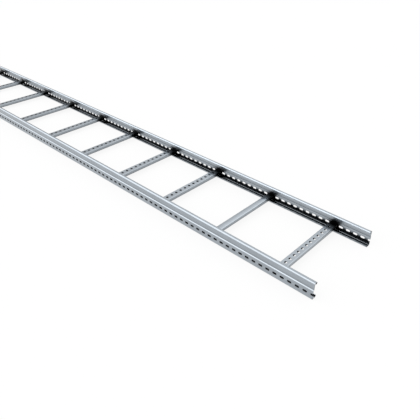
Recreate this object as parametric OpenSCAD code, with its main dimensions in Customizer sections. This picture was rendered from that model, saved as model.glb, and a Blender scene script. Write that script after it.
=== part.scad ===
// Cable ladder section: two roll-formed side rails joined by cross rungs, in galvanised steel.
// Millimetres. +X runs along the ladder, +Y across it, +Z up. The origin is on the floor, at
// the middle of the ladder's length and width.

/* [Ladder] */
// Length of the section, which is also the length of both side rails
ladder_len = 3000; // [1000:250:6000]
// Width over the outer faces of the two side rails
ladder_w = 320; // [200:1:620]
// Distance between rung centres
rung_pitch = 250; // [150:25:500]
// Distance from the end of the rails to the centre of the first rung
first_rung = 125; // [50:25:250]

/* [Side rail] */
// Overall height of a side rail
rail_h = 57; // [50:0.5:90]
// Sheet thickness of a side rail
rail_t = 1.5; // [1:0.1:2]
// Width of the bottom flange, measured from the rail's outer face
base_flange_w = 18; // [16:0.5:30]
// Height of the lip that stands up along the bottom flange
base_lip_h = 6; // [5:0.5:9]
// Outside radius of the bends at both edges of the bottom flange
base_bend_r = 3; // [2:0.5:4.5]
// Distance that the upper web is set in from the lower web
step_in = 2.5; // [1.5:0.5:4.5]
// Height of the middle of the step between the lower and the upper web
step_z = 32; // [31:0.5:36]
// Outside radius of the two bends of the step
step_bend_r = 2.5; // [2:0.1:3]
// Width of the top flange with its curl, measured from the rail's outer face
top_flange_w = 14; // [13:0.5:20]
// Outside radius of the bend between the upper web and the top flange
top_bend_r = 6; // [3:0.5:6.5]
// Outside diameter of the curl along the top flange
curl_d = 7.5; // [6:0.5:9]
// Angle through which the curl is rolled
curl_angle = 270; // [180:5:290]

/* [Rail slots] */
// Distance between slot centres along a rail
slot_pitch = 25; // [20:1:50]
// Overall length of a slot
slot_len = 14.5; // [9:0.5:18]
// Width of a slot
slot_w = 7.5; // [5:0.5:8.5]
// Height of the slot centres above the floor
slot_z = 17.5; // [15:0.5:20]

/* [Rung] */
// Overall width of a perforated rung
rung_w = 28; // [22:0.5:40]
// Overall height of a perforated rung
rung_h = 14; // [11:0.5:15]
// Sheet thickness of a rung
rung_t = 1.5; // [1:0.1:2]
// Height of the rungs' top face above the floor
rung_top_z = 24; // [23.5:0.5:27]
// Outside radius of the bends of a perforated rung
rung_bend_r = 3; // [2.5:0.1:4]
// Clear width of the open underside of a perforated rung
rung_mouth = 16; // [8:0.5:17]

/* [Rung holes] */
// Distance between hole centres along a rung
hole_pitch = 21.3; // [15:0.1:40]
// Diameter of the holes in the rungs
hole_d = 9.5; // [4:0.5:12]
// Least distance from the end of a rung to the edge of its last hole
hole_margin = 8; // [4:1:60]

/* [Plain rung] */
// Index of the plain rung, counted from the +X end
plain_index = 2; // [1:1:4]
// Overall width of the plain rung
plain_w = 22.5; // [21:0.5:28]
// Overall height of the plain rung
plain_h = 13.5; // [10:0.5:14]
// Outside radius of the bends of the plain rung
plain_bend_r = 3.5; // [2.5:0.1:4]
// Clear width of the open underside of the plain rung
plain_mouth = 12; // [6:0.5:13]

/* [Hidden] */
// As many rungs as fit between the first rung and its like at the other end
rungs = floor((ladder_len - 2 * first_rung) / rung_pitch) + 1;
function rung_name(i) = str("rung_", i < 10 ? "0" : "", i);
// One facet of a bend turns through about this angle
bend_facet = 15;
// Facets of round holes and slot ends
round_fn = 48;
// Cutters reach this far past the faces that they cut
over = 1;

// ---------- sheet bent along a path ----------
// A path is a start frame [x, y, heading] and a list of steps [run, turn, radius]: the sheet's
// middle line runs straight for run, then turns by turn degrees, left being positive, round a
// bend with that middle-line radius.

function ahead(f, run) = [f[0] + run * cos(f[2]), f[1] + run * sin(f[2]), f[2]];

function turned(f, turn, r) = let (s = sign(turn), a = f[2], b = f[2] + turn)
    [f[0] + s * r * (sin(b) - sin(a)), f[1] - s * r * (cos(b) - cos(a)), b];

function bend(f, turn, r) = let (n = max(2, ceil(abs(turn) / bend_facet)))
    [for (k = [0 : n]) turned(f, turn * k / n, r)];

function path(f, steps, i = 0) = i == len(steps) ? [] : let (
        arc = bend(ahead(f, steps[i][0]), steps[i][1], steps[i][2])
    ) concat(arc, path(arc[len(arc) - 1], steps, i + 1));

function side(frames, off) = [for (f = frames) [f[0] - off * sin(f[2]), f[1] + off * cos(f[2])]];

function backwards(list) = [for (i = [len(list) - 1 : -1 : 0]) list[i]];

// Outline of a sheet of thickness t bent along the path
module bent_sheet(start, steps, last_run, t) {
    bends = path(start, steps);
    frames = concat([start], bends, [ahead(bends[len(bends) - 1], last_run)]);
    polygon(concat(side(frames, t / 2), backwards(side(frames, -t / 2))));
}

// ---------- side rail ----------
// Middle-line radii of the bends
base_r = base_bend_r - rail_t / 2;
step_r = step_bend_r - rail_t / 2;
top_r = top_bend_r - rail_t / 2;
curl_r = (curl_d - rail_t) / 2;
// The step is two 45 degree bends with a straight run between them
step_turn = 45;
step_run = (step_in - 2 * step_r * (1 - cos(step_turn))) / sin(step_turn);
step_rise = 2 * step_r * sin(step_turn) + step_run * cos(step_turn);

// Section of the left rail: x is inward from its outer face, y is up
module rail_section() {
    bent_sheet(
        [base_flange_w - rail_t / 2, base_lip_h, 270],
        [
            [base_lip_h - base_bend_r, -90, base_r],
            [base_flange_w - 2 * base_bend_r, -90, base_r],
            [step_z - step_rise / 2 - base_bend_r, -step_turn, step_r],
            [step_run, step_turn, step_r],
            [rail_h - top_bend_r - step_z - step_rise / 2, -90, top_r],
            [top_flange_w - step_in - top_bend_r - curl_d / 2, -curl_angle, curl_r],
        ],
        0, rail_t
    );
}

module slot_outline() {
    for (s = [-1, 1]) translate([s * (slot_len - slot_w) / 2, 0]) circle(d = slot_w, $fn = round_fn);
    square([slot_len - slot_w, slot_w], center = true);
}

// Slots run the whole length, one of them at its middle; the end ones are cut by the rail ends
module rail_slots() {
    last = floor(ladder_len / 2 / slot_pitch);
    for (k = [-last : last])
        translate([k * slot_pitch, rail_t + over, slot_z]) rotate([90, 0, 0])
            linear_extrude(rail_t + 2 * over) slot_outline();
}

// Left rail with its outer face on the plane y = 0
module rail() {
    difference() {
        translate([-ladder_len / 2, 0, 0]) rotate([90, 0, 90]) linear_extrude(ladder_len) rail_section();
        rail_slots();
    }
}

module rail_left() {
    color("silver") translate([0, -ladder_w / 2, 0]) rail();
}

module rail_right() {
    color("silver") mirror([0, 1, 0]) translate([0, -ladder_w / 2, 0]) rail();
}

// ---------- rungs ----------
// A rung reaches from the inner face of one lower web to that of the other
rung_len = ladder_w - 2 * rail_t;
// Holes are spread from the middle of the rung, one of them on the ladder's centre line
hole_reach = floor((rung_len / 2 - hole_margin - hole_d / 2) / hole_pitch);

// Channel laid across the ladder with its top face up, its bottom lips turned in to leave a mouth
module channel(w, h, bend_r, mouth) {
    lip_run = w / 2 - bend_r - mouth / 2;
    mid_r = bend_r - rung_t / 2;
    translate([0, rung_len / 2, rung_top_z - h]) rotate([90, 0, 0]) linear_extrude(rung_len)
        bent_sheet(
            [mouth / 2, rung_t / 2, 0],
            [
                [lip_run, 90, mid_r],
                [h - 2 * bend_r, 90, mid_r],
                [w - 2 * bend_r, 90, mid_r],
                [h - 2 * bend_r, 90, mid_r],
            ],
            lip_run, rung_t
        );
}

module perforated_rung() {
    difference() {
        channel(rung_w, rung_h, rung_bend_r, rung_mouth);
        for (k = [-hole_reach : hole_reach])
            translate([0, k * hole_pitch, rung_top_z - rung_t - over])
                cylinder(d = hole_d, h = rung_t + 2 * over, $fn = round_fn);
    }
}

module plain_rung() {
    channel(plain_w, plain_h, plain_bend_r, plain_mouth);
}

module rung(i) {
    color("lightsteelblue") translate([ladder_len / 2 - first_rung - (i - 1) * rung_pitch, 0, 0]) {
        if (i == plain_index) plain_rung();
        else perforated_rung();
    }
}

rail_left();
rail_right();
for (i = [1 : rungs]) rung(i);
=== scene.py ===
# %% [markdown]
# # Cable ladder section
#
# A cable ladder carries power cables along a ceiling or a wall. This one is a stock length: two
# side rails, roll-formed from galvanised sheet, and a row of cross rungs between them. The
# lesson loads the finished construction as a fixed frame, dresses it in steel and lights it.

# %% Load the frame
import math

import bpy
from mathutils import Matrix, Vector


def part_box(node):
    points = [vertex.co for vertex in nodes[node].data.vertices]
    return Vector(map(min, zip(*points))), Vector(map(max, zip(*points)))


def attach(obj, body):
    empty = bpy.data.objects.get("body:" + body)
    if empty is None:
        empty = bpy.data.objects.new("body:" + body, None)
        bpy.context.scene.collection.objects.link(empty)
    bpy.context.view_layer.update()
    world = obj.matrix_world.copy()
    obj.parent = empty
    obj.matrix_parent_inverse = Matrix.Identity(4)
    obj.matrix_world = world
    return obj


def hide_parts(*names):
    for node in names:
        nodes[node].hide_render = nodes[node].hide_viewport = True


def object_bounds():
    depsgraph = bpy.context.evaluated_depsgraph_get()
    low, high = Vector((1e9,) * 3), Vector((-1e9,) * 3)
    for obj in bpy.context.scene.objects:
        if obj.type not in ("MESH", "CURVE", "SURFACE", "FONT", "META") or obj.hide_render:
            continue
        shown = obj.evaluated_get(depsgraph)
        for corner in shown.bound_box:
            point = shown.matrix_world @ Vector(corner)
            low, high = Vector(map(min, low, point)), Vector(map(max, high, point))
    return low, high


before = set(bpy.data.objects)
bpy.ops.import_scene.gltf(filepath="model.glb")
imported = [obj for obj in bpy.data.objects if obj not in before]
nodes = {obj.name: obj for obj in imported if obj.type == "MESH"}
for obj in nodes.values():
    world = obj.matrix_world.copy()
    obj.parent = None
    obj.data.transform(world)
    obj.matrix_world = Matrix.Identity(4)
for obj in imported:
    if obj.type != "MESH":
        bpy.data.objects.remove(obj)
cad_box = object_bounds()

rail_names = sorted(n for n in nodes if n.startswith("rail_"))
rung_names = sorted(n for n in nodes if n.startswith("rung_"))
print("rails:", rail_names, "rungs:", len(rung_names))

# %% [markdown]
# ## Where the camera stands
#
# The near end of the ladder points at the viewer's right, and the camera looks down on it from
# outside the left rail. A long thing seen from close by is easiest to place from its nearest
# corner: the view then stays the same if the ladder is made longer. Heading and tilt are turns
# about the upright and the level axis, so they are set apart from each other.

# %% Camera
MM = 0.001
near_corner = (cad_box[1][0], cad_box[0][1], cad_box[0][2])
CAMERA_FROM_CORNER = (397.5 * MM, -819.3 * MM, 886.5 * MM)
CAMERA_TILT_DOWN = 34.44
CAMERA_HEADING = 43.19
CAMERA_LENS = 39.25

camera_data = bpy.data.cameras.new("camera")
camera_data.lens = CAMERA_LENS
camera = bpy.data.objects.new("camera", camera_data)
camera.location = [c + o for c, o in zip(near_corner, CAMERA_FROM_CORNER)]
camera.rotation_euler = (math.radians(90 - CAMERA_TILT_DOWN), 0, math.radians(CAMERA_HEADING))
bpy.context.scene.collection.objects.link(camera)
bpy.context.scene.camera = camera
print("camera at", [round(c, 3) for c in camera.location])

# %% [markdown]
# ## Small tools for node materials
#
# A procedural material is a graph of nodes. One helper starts an empty material, and one adds a
# node with its settings and its values given by name. The others add the few nodes that come
# again and again: a changed range, a sum or product, a vector's parts, a colour made brighter.


# %% Helpers for node materials
def new_material(name):
    """A node material with only its output node."""
    material = bpy.data.materials.new(name)
    material.use_nodes = True
    material.node_tree.nodes.clear()
    output = material.node_tree.nodes.new("ShaderNodeOutputMaterial")
    return material, material.node_tree, output


def add(tree, kind, **values):
    """Adds a node and sets its attributes, or else its sockets, by name."""
    node = tree.nodes.new("ShaderNode" + kind)
    for key, value in values.items():
        if hasattr(node, key):
            setattr(node, key, value)
        else:
            node.inputs[key.replace("_", " ")].default_value = value
    return node


def remap(tree, source, low, high, to_low, to_high):
    """Maps a value from one range to another, and clamps it there."""
    node = add(tree, "MapRange", From_Min=low, From_Max=high, To_Min=to_low, To_Max=to_high)
    tree.links.new(source, node.inputs["Value"])
    return node.outputs["Result"]


def maths(tree, operation, first, second):
    """Joins two values, or a value and a number, with one operation."""
    node = add(tree, "Math", operation=operation)
    for socket, value in zip(node.inputs, (first, second)):
        if isinstance(value, (int, float)):
            socket.default_value = value
        else:
            tree.links.new(value, socket)
    return node.outputs[0]


def parts(tree, vector):
    """The three parts of a vector, by the names X, Y and Z."""
    node = add(tree, "SeparateXYZ")
    tree.links.new(vector, node.inputs[0])
    return node.outputs


def scaled(tree, colour, factor):
    """A colour times a factor."""
    node = add(tree, "VectorMath", operation="SCALE")
    node.inputs[0].default_value = colour
    tree.links.new(factor, node.inputs["Scale"])
    return node.outputs[0]


print("helpers ready")

# %% [markdown]
# ## The rolled grain
#
# Zinc-coated strip comes off polished rolls, which leave a fine grain along the strip. A noise
# that is stretched along the length makes it. The rungs are cut from the same strip but lie
# across the ladder, so their grain is stretched the other way.

# %% Rolled grain
GRAIN_ALONG_X = (6, 160, 160)
GRAIN_ALONG_Y = (160, 6, 160)
GRAIN_SCALE = 4.0


def rolled_grain(tree, place, stretch):
    """A fine streaky noise, drawn out along the axis that has the small number."""
    mapping = add(tree, "Mapping")
    mapping.inputs["Scale"].default_value = stretch
    grain = add(tree, "TexNoise", Scale=GRAIN_SCALE, Detail=4.0)
    tree.links.new(place, mapping.inputs["Vector"])
    tree.links.new(mapping.outputs["Vector"], grain.inputs["Vector"])
    return grain.outputs["Fac"]


grain_sizes = [round(1000 / GRAIN_SCALE / stretch, 1) for stretch in GRAIN_ALONG_X]
print("grain of", grain_sizes, "mm along x, y and z on the rails")

# %% [markdown]
# ## The bloom of the zinc
#
# Molten zinc sets in flakes, and on skin-passed sheet only a soft mottling of them is left. Two
# sizes of it are mixed: flakes of about a centimetre from a Voronoi texture, and clouds of
# half a hand's width from a noise. Both only change the tone by a few hundredths.

# %% Zinc bloom
FLAKE_SCALE = 90.0
CLOUD_SCALE = 14.0


def zinc_bloom(tree, place):
    """A soft mottling around 0.5."""
    flakes = add(tree, "TexVoronoi", Scale=FLAKE_SCALE)
    clouds = add(tree, "TexNoise", Scale=CLOUD_SCALE, Detail=2.0)
    tree.links.new(place, flakes.inputs["Vector"])
    tree.links.new(place, clouds.inputs["Vector"])
    tone = add(tree, "RGBToBW")
    tree.links.new(flakes.outputs["Color"], tone.inputs["Color"])
    flake_share = remap(tree, tone.outputs["Val"], 0, 1, 0.35, 0.65)
    cloud_share = remap(tree, clouds.outputs["Fac"], 0.3, 0.7, -0.25, 0.25)
    return maths(tree, "ADD", flake_share, cloud_share)


print("flakes of", round(1000 / FLAKE_SCALE), "mm, clouds of", round(1000 / CLOUD_SCALE), "mm")

# %% [markdown]
# ## Painted shade in inner corners
#
# Inside a channel, steel sees mostly steel, and after two or three bounces little light is
# left. The bounces alone don't make the corners as dark as they should look here, so a painted
# shade darkens them further. Its strength is given. Ambient occlusion measures how shut in a spot
# is, and a map range turns that into the painted shade. The normal that it looks along can be
# leaned, so that it looks into the foot of a rail and not at its top flange.


# %% Painted corner shade
def corner_painted_shade(tree, normal, reach, lean, shut, open_, darkest):
    """Painted shade: 1 on open faces, darkest where the view along the leaned normal is shut."""
    leaned = add(tree, "VectorMath", operation="ADD")
    leaned.inputs[1].default_value = lean
    unit = add(tree, "VectorMath", operation="NORMALIZE")
    hollow = add(tree, "AmbientOcclusion", samples=16, Distance=reach)
    tree.links.new(normal, leaned.inputs[0])
    tree.links.new(leaned.outputs[0], unit.inputs[0])
    tree.links.new(unit.outputs[0], hollow.inputs["Normal"])
    return remap(tree, hollow.outputs["AO"], shut, open_, darkest, 1)


def both(tree, first, second):
    """Where two masks are both on, or the product of two tones."""
    return maths(tree, "MULTIPLY", first, second)


def either(tree, first, second):
    """Where at least one of two masks is on, or the lighter of two tones."""
    return maths(tree, "MAXIMUM", first, second)


print("corner tones and masks ready")

# %% [markdown]
# ## Where a rail is shut in, and where it stands free
#
# The floor shuts in a face as much as steel does, but a rail's outer face and the outside of
# its lip stand free in the light, and the bend under its outer face half so. There the painted
# corner shade is lifted, on the lip's outside fully at its foot and less towards its top, which
# paints the lip lighter towards the bottom. They are told apart by how far they are from the
# ladder's centre line, and by the sign of the normal times that distance, which is positive on
# faces that look outwards.

# %% Free faces of a rail
HALF_WIDTH = cad_box[1][1]
WEB_FROM = HALF_WIDTH - 9 * MM
LIP_FACE_TO = HALF_WIDTH - 17.7 * MM
LIP_LIGHT_BELOW = 2 * MM
LIP_TOP = 6 * MM
LIP_TOP_LIGHT = 0.3
FOOT_HEIGHT = 8 * MM
FOOT_BEND_TONE = 0.5
SOFT_EDGE = 1 * MM


def free_faces(tree, normal, away, outward, height):
    """Where painted shade is lifted: outer face, lip's outside, half so the bend under it."""
    on_web = remap(tree, away, WEB_FROM, WEB_FROM + SOFT_EDGE, 0, 1)
    outer_face = both(tree, remap(tree, outward, 0.01, 0.05, 0, 1), on_web)
    lip_face = remap(tree, away, LIP_FACE_TO, LIP_FACE_TO + 0.3 * MM, 1, 0)
    # Painted light on the lip's outside: full at its foot, less towards its top.
    lip_light = remap(tree, height, LIP_LIGHT_BELOW, LIP_TOP, 1, LIP_TOP_LIGHT)
    tilted = remap(tree, normal["Z"], 0.3, 0.4, 0, 1)
    not_flat = remap(tree, normal["Z"], 0.93, 0.99, 1, 0)
    low_down = remap(tree, height, FOOT_HEIGHT, FOOT_HEIGHT + SOFT_EDGE, 1, 0)
    foot_bend = both(tree, both(tree, tilted, not_flat), both(tree, low_down, on_web))
    # The bend under the outer face: the painted shade is lifted halfway.
    foot_light = both(tree, foot_bend, FOOT_BEND_TONE)
    return either(tree, either(tree, outer_face, both(tree, lip_face, lip_light)), foot_light)


print("lip's outside up to", round(LIP_FACE_TO, 4), "m from the centre line")

# %% [markdown]
# ## Two painted touches on a rail
#
# The web just above its step gets a painted shade, a little darker than the room makes it, and
# the side of the curl that looks inwards a painted highlight, a good deal brighter. Both are plain
# changes of tone with given numbers: nothing on the sheet itself is claimed to cause them.

# %% Corners of a rail
STEP_TOP = 34 * MM
STEP_SHADE = 0.28
STEP_SHADE_HEIGHT = 7 * MM
CURL_FROM = cad_box[1][2] - 8 * MM
CURL_HIGHLIGHT_GAIN = 0.75


def step_painted_shade(tree, height):
    """A painted shade: slightly dark just above the step, and 1 elsewhere."""
    above = remap(tree, height, STEP_TOP - 0.5 * MM, STEP_TOP, 0, 1)
    fading = remap(tree, height, STEP_TOP, STEP_TOP + STEP_SHADE_HEIGHT, STEP_SHADE, 0)
    return maths(tree, "SUBTRACT", 1.0, both(tree, above, fading))


def curl_painted_highlight(tree, outward, height):
    """A painted highlight: brighter than 1 on the curl's inward side, and 1 elsewhere."""
    on_curl = remap(tree, height, CURL_FROM, CURL_FROM + SOFT_EDGE, 0, CURL_HIGHLIGHT_GAIN)
    inner_side = remap(tree, outward, -0.14, -0.1, 1, 0)
    return maths(tree, "ADD", 1.0, both(tree, on_curl, inner_side))


def rail_painted_tone(tree, place):
    """Painted tone of a rail: shade in its hollows, lifted on free faces, highlight on the curl.
    """
    facing = add(tree, "NewGeometry").outputs["Normal"]
    shade = corner_painted_shade(
        tree, facing, reach=30 * MM, lean=(0, 0, -0.6), shut=0.50, open_=0.73, darkest=0.06
    )
    normal = parts(tree, facing)
    at = parts(tree, place)
    away = maths(tree, "ABSOLUTE", at["Y"], 0.0)
    outward = maths(tree, "MULTIPLY", normal["Y"], at["Y"])
    lit = either(tree, shade, free_faces(tree, normal, away, outward, at["Z"]))
    return both(tree, both(tree, lit, step_painted_shade(tree, at["Z"])), curl_painted_highlight(tree, outward, at["Z"]))


print("curl from", round(CURL_FROM, 4), "m up")

# %% [markdown]
# ## Painted shade on a rung
#
# A rung gets painted shade inside its channel, which shows through the holes, and over the last
# stretch before it meets a rail, where the rail shuts out the light from one side. How dark, and
# over what length, is given.

# %% Corners of a rung
RUNG_END_FROM = HALF_WIDTH - 47 * MM
RUNG_END_FULL = HALF_WIDTH - 23 * MM
RUNG_END_SHADE = 0.08


def rung_painted_tone(tree, place):
    """The painted corner shade of a rung, with painted shade over its two ends."""
    facing = add(tree, "NewGeometry").outputs["Normal"]
    shade = corner_painted_shade(
        tree, facing, reach=40 * MM, lean=(0, 0, 0), shut=0.40, open_=0.88, darkest=0.03
    )
    away = maths(tree, "ABSOLUTE", parts(tree, place)["Y"], 0.0)
    end = remap(tree, away, RUNG_END_FROM, RUNG_END_FULL, 1, RUNG_END_SHADE)
    return both(tree, shade, end)


print("rung ends darken from", round(RUNG_END_FROM, 3), "to", round(RUNG_END_FULL, 3), "m")

# %% [markdown]
# ## The painted domed look of the plain rung
#
# One rung has no holes, and its top looks slightly domed. The construction has it flat, so the
# dome is painted light and shade: the side of a dome that faces the light is brighter, so the
# painted tone rises across the top.

# %% Painted domed look
PLAIN_RUNG = min(rung_names, key=lambda name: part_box(name)[1][0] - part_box(name)[0][0])
PLAIN_MIDDLE = (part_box(PLAIN_RUNG)[0][0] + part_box(PLAIN_RUNG)[1][0]) / 2
DARK_SIDE = PLAIN_MIDDLE - 5 * MM
LIGHT_SIDE = PLAIN_MIDDLE + 8 * MM
DARKER_BY = 0.14
LIGHTER_BY = 0.28


def plain_rung_painted_tone(tree, place):
    """Painted rung shade, plus painted light and shade rising across the top to the light."""
    normal = parts(tree, add(tree, "NewGeometry").outputs["Normal"])
    on_top = remap(tree, normal["Z"], 0.8, 0.95, 0, 1)
    slope = remap(tree, parts(tree, place)["X"], DARK_SIDE, LIGHT_SIDE, -DARKER_BY, LIGHTER_BY)
    painted_dome = maths(tree, "ADD", 1.0, both(tree, on_top, slope))
    return both(tree, rung_painted_tone(tree, place), painted_dome)


print("plain rung:", PLAIN_RUNG)

# %% [markdown]
# ## Zinc-coated sheet
#
# Bright zinc is a metal: its colour is the tint of what it mirrors. It is a cool grey here,
# and the bloom moves it a little. Roughness follows the grain, and so does a shallow bump, so
# highlights along the bends break up as they do on real strip.

# %% Zinc sheet
ZINC_GREY = (0.36, 0.395, 0.43)
ZINC_ROUGHNESS = 0.25
GRAIN_DEPTH = 0.02 * MM


def zinc_sheet(name, stretch, corners):
    """Bright zinc-coated sheet with grain, bloom and the painted light and shade of its piece."""
    material, tree, output = new_material(name)
    link = tree.links.new
    place = add(tree, "TexCoord").outputs["Object"]
    grain = rolled_grain(tree, place, stretch)
    mottling = remap(tree, zinc_bloom(tree, place), 0, 1, 0.93, 1.07)
    # The tint carries the painted light and shade of the piece as well as the bloom.
    tint = scaled(tree, ZINC_GREY, both(tree, mottling, corners(tree, place)))
    dullest, brightest = ZINC_ROUGHNESS + 0.05, ZINC_ROUGHNESS - 0.05
    bump = add(tree, "Bump", Strength=0.3, Distance=GRAIN_DEPTH)
    link(grain, bump.inputs["Height"])

    shader = add(tree, "BsdfPrincipled", Metallic=1.0)
    link(tint, shader.inputs["Base Color"])
    link(remap(tree, grain, 0.3, 0.7, brightest, dullest), shader.inputs["Roughness"])
    link(bump.outputs["Normal"], shader.inputs["Normal"])
    link(shader.outputs["BSDF"], output.inputs["Surface"])
    return material


rail_zinc = zinc_sheet("rail_zinc", GRAIN_ALONG_X, rail_painted_tone)
rung_zinc = zinc_sheet("rung_zinc", GRAIN_ALONG_Y, rung_painted_tone)
plain_zinc = zinc_sheet("plain_zinc", GRAIN_ALONG_Y, plain_rung_painted_tone)
print("finishes:", rail_zinc.name, rung_zinc.name, plain_zinc.name)

# %% [markdown]
# ## Cut edges, and painted shade in narrow hollows
#
# The strip is taken to be coated before it is cut and punched, so that the walls of the slots
# and holes and the sawn ends are bare. They get a material of their own. Its grey is much darker
# than clean steel's: partly bare steel, and partly painted shade, so that these narrow places look
# nearly black from a few steps away. The same dark grey is painted as shade inside the curls
# and the rung channels.

# %% Cut edge
BARE_AND_SHADE_GREY = (0.06, 0.06, 0.065)
CUT_LINE_SCALE = 900.0


def bare_and_shade_finish(name):
    """Dull bare steel with the fine lines of a shear cut, darkened further as painted shade."""
    material, tree, output = new_material(name)
    place = add(tree, "TexCoord").outputs["Object"]
    lines = add(tree, "TexNoise", Scale=CUT_LINE_SCALE, Detail=3.0)
    tree.links.new(place, lines.inputs["Vector"])
    tint = scaled(tree, BARE_AND_SHADE_GREY, remap(tree, lines.outputs["Fac"], 0.3, 0.7, 0.7, 1.3))
    roughness = remap(tree, lines.outputs["Fac"], 0.3, 0.7, 0.45, 0.6)
    shader = add(tree, "BsdfPrincipled", Metallic=1.0)
    tree.links.new(tint, shader.inputs["Base Color"])
    tree.links.new(roughness, shader.inputs["Roughness"])
    tree.links.new(shader.outputs["BSDF"], output.inputs["Surface"])
    return material


cut_and_shade_steel = bare_and_shade_finish("cut_and_shade_steel")
print("finish:", cut_and_shade_steel.name)

# %% [markdown]
# ## Round bends from straight facets
#
# The construction bends its sheet in straight facets of 15 degrees. Roll-formed bends are
# round, so each piece gets a finished copy: the same mesh with its loose triangles merged, and
# with smooth normals across every edge under 30 degrees. Weighted normals keep the broad flat
# faces flat, so only the bends look round, and the size doesn't change at all. A crowned piece
# goes without them, and its flats then look slightly domed.

# %% Finished copies
MERGE_DISTANCE = 0.01 * MM
SMOOTH_ANGLE = math.radians(30)


def merged_copy(name, crowned):
    """A copy of a node's mesh, merged and shaded smooth across its bends."""
    bpy.ops.object.select_all(action="DESELECT")
    piece = bpy.data.objects.new(name + "_steel", nodes[name].data.copy())
    bpy.context.scene.collection.objects.link(piece)
    piece.select_set(True)
    bpy.context.view_layer.objects.active = piece
    bpy.ops.object.mode_set(mode="EDIT")
    bpy.ops.mesh.select_all(action="SELECT")
    bpy.ops.mesh.customdata_custom_splitnormals_clear()
    bpy.ops.mesh.remove_doubles(threshold=MERGE_DISTANCE)
    bpy.ops.object.mode_set(mode="OBJECT")
    bpy.ops.object.shade_smooth_by_angle(angle=SMOOTH_ANGLE)
    if not crowned:
        weigh = piece.modifiers.new("weigh", "WEIGHTED_NORMAL")
        weigh.keep_sharp = True
        bpy.ops.object.modifier_apply(modifier=weigh.name)
    return piece


def finish_node(name, material, is_bare_or_shaded, crowned=False):
    """Puts a finished copy in a node's place, with the dark bare finish on cut and shaded faces.
    """
    piece = merged_copy(name, crowned)
    piece.data.materials.clear()
    piece.data.materials.append(material)
    piece.data.materials.append(cut_and_shade_steel)
    for face in piece.data.polygons:
        face.material_index = int(is_bare_or_shaded(face))
    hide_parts(name)
    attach(piece, "root")
    print(piece.name, sum(face.material_index for face in piece.data.polygons), "cut faces")


# %% [markdown]
# ## The side rails
#
# Each rail is one strip with a lipped foot, a step in its web and a curl along its top. Its
# section is the same all along, so a face that looks along the rail was cut. So was a face
# inside the lower web that doesn't look across the ladder: that is a slot's wall. The inside of
# the curl gets the same dark grey as painted shade, because its narrow bore lets hardly any light
# out.

# %% Side rails
SHEET = 1.5 * MM
SLOTS_BETWEEN = (12 * MM, 24 * MM)
CURL_OUTER = 3.75 * MM
CURL_AXIS = (HALF_WIDTH - 14 * MM + CURL_OUTER, cad_box[1][2] - CURL_OUTER)
CURL_BORE = CURL_OUTER - SHEET / 2


def rail_face_is_bare_or_shaded(face):
    """True on the bare sawn ends and slot walls, and inside the curl as painted shade."""
    away, height = abs(face.center.y), face.center.z
    in_web = HALF_WIDTH - SHEET < away < HALF_WIDTH
    in_slots = SLOTS_BETWEEN[0] < height < SLOTS_BETWEEN[1]
    slot_wall = in_web and in_slots and abs(face.normal.y) < 0.5
    in_curl = math.hypot(away - CURL_AXIS[0], height - CURL_AXIS[1]) < CURL_BORE
    return abs(face.normal.x) > 0.3 or slot_wall or in_curl


for name in rail_names:
    finish_node(name, rail_zinc, rail_face_is_bare_or_shaded)

# %% [markdown]
# ## The rungs
#
# Each rung is a lipped channel, butted between the rails. All but one have a row of holes. A
# hole's wall is the only face within the top sheet's thickness that stands upright near the
# rung's middle. A face that looks towards the channel's axis is inside it, where hardly any
# light gets out, so it gets the cut's dark grey as painted shade. The plain rung gets the painted
# domed look.

# %% Rungs
HOLES_WITHIN = 6 * MM


def rung_bare_or_shade_test(name):
    """A test for a rung's faces: True on hole walls and sawn ends, and inside as painted shade."""
    low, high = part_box(name)
    axis_x, axis_z, top = (low[0] + high[0]) / 2, (low[2] + high[2]) / 2, high[2]

    def rung_face_is_bare_or_shaded(face):
        across, up = face.center.x - axis_x, face.center.z - axis_z
        in_top = top - SHEET < face.center.z < top
        hole_wall = abs(across) < HOLES_WITHIN and in_top and abs(face.normal.z) < 0.5
        # A face inside the channel gets the dark grey as painted shade.
        inside = face.normal.x * across + face.normal.z * up < -0.1 * MM
        return abs(face.normal.y) > 0.99 or hole_wall or inside

    return rung_face_is_bare_or_shaded


for name in rung_names:
    plain = name == PLAIN_RUNG
    zinc = plain_zinc if plain else rung_zinc
    finish_node(name, zinc, rung_bare_or_shade_test(name), crowned=plain)

# %% [markdown]
# ## The floor
#
# A sheet of white studio paper. To the lamps it is plain white card, so the ladder's shadow
# falls on it. The camera, and the steel's own reflections, see it partly as a glow of strength
# one, which is white, so the ground stays clean without more light on the ladder.

# %% Floor
FLOOR_SIZE = 40
FLOOR_GAP = 0.5 * MM
FLOOR_GLOW_SHARE = 0.88


def white_when_seen(tree):
    """1 for camera, glossy and transmission rays, and 0 for the light that falls on things."""
    path = add(tree, "LightPath")
    seen = maths(tree, "MAXIMUM", path.outputs["Is Camera Ray"], path.outputs["Is Glossy Ray"])
    return maths(tree, "MAXIMUM", seen, path.outputs["Is Transmission Ray"])


bpy.ops.object.select_all(action="DESELECT")
bpy.ops.mesh.primitive_plane_add(size=FLOOR_SIZE, location=(0, 0, cad_box[0][2] - FLOOR_GAP))
floor = bpy.context.object
floor.name = "floor"

studio_paper, tree, output = new_material("studio_paper")
card = add(tree, "BsdfDiffuse", Color=(0.8, 0.8, 0.8, 1))
glow = add(tree, "Emission", Strength=1.0)
mix = add(tree, "MixShader")
tree.links.new(maths(tree, "MULTIPLY", white_when_seen(tree), FLOOR_GLOW_SHARE), mix.inputs["Fac"])
tree.links.new(card.outputs[0], mix.inputs[1])
tree.links.new(glow.outputs[0], mix.inputs[2])
tree.links.new(mix.outputs[0], output.inputs["Surface"])
floor.data.materials.append(studio_paper)
print("floor at", round(floor.location.z, 4))

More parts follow.
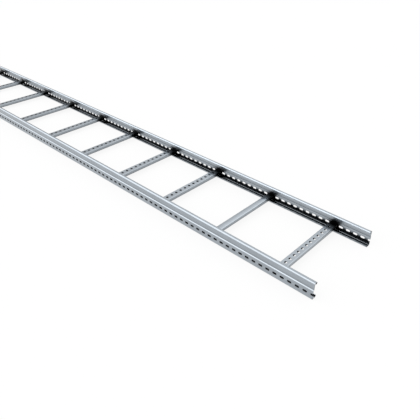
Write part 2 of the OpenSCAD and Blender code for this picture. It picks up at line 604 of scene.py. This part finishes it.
# %% [markdown]
# ## The light
#
# Metal shows the room it stands in, so the room is what draws the bends of the sheet. This one
# is a plain studio: even walls that get a little lighter with height, and three soft windows of
# light. The broad one is high up behind the viewer's left shoulder. A dimmer one beyond the far
# rail is what the flat tops mirror, and one off the near end lights the rungs' front bends.
# Each is placed where the highlights on the bends and flats ask for it. Windows in the world
# give smooth gradients, where small lamps would give hot spots.

# %% Studio room
WALLS_LOW = 0.48
WALLS_HIGH = 0.67
WALLS_RISE = 0.5
WINDOWS = [
    {"azimuth": 222, "elevation": 34, "core": 30, "edge": 48, "light": 1.7},
    {"azimuth": 115, "elevation": 36, "core": 15, "edge": 38, "light": 0.55},
    {"azimuth": 50, "elevation": 36, "core": 14, "edge": 45, "light": 1.0},
]


def direction(azimuth, elevation):
    """A unit vector from two angles in degrees."""
    a, e = math.radians(azimuth), math.radians(elevation)
    return (math.cos(a) * math.cos(e), math.sin(a) * math.cos(e), math.sin(e))


def window(tree, towards, azimuth, elevation, core, edge, light):
    """Light that is full within core degrees of a direction and gone at edge degrees."""
    nearness = add(tree, "VectorMath", operation="DOT_PRODUCT")
    nearness.inputs[1].default_value = direction(azimuth, elevation)
    tree.links.new(towards, nearness.inputs[0])
    edge_cosine, core_cosine = math.cos(math.radians(edge)), math.cos(math.radians(core))
    return remap(tree, nearness.outputs["Value"], edge_cosine, core_cosine, 0, light)


world = bpy.data.worlds.new("studio")
bpy.context.scene.world = world
world.use_nodes = True
tree = world.node_tree
tree.nodes.clear()
output = tree.nodes.new("ShaderNodeOutputWorld")
towards = add(tree, "TexCoord").outputs["Generated"]
light = remap(tree, parts(tree, towards)["Z"], 0, WALLS_RISE, WALLS_LOW, WALLS_HIGH)
for pane in WINDOWS:
    light = maths(tree, "ADD", light, window(tree, towards, **pane))
room = add(tree, "Background", Color=(1, 1, 1, 1))
tree.links.new(light, room.inputs["Strength"])
tree.links.new(room.outputs[0], output.inputs["Surface"])
bpy.context.scene.view_settings.view_transform = "Standard"
print("walls", WALLS_LOW, "to", WALLS_HIGH, "and", len(WINDOWS), "windows")
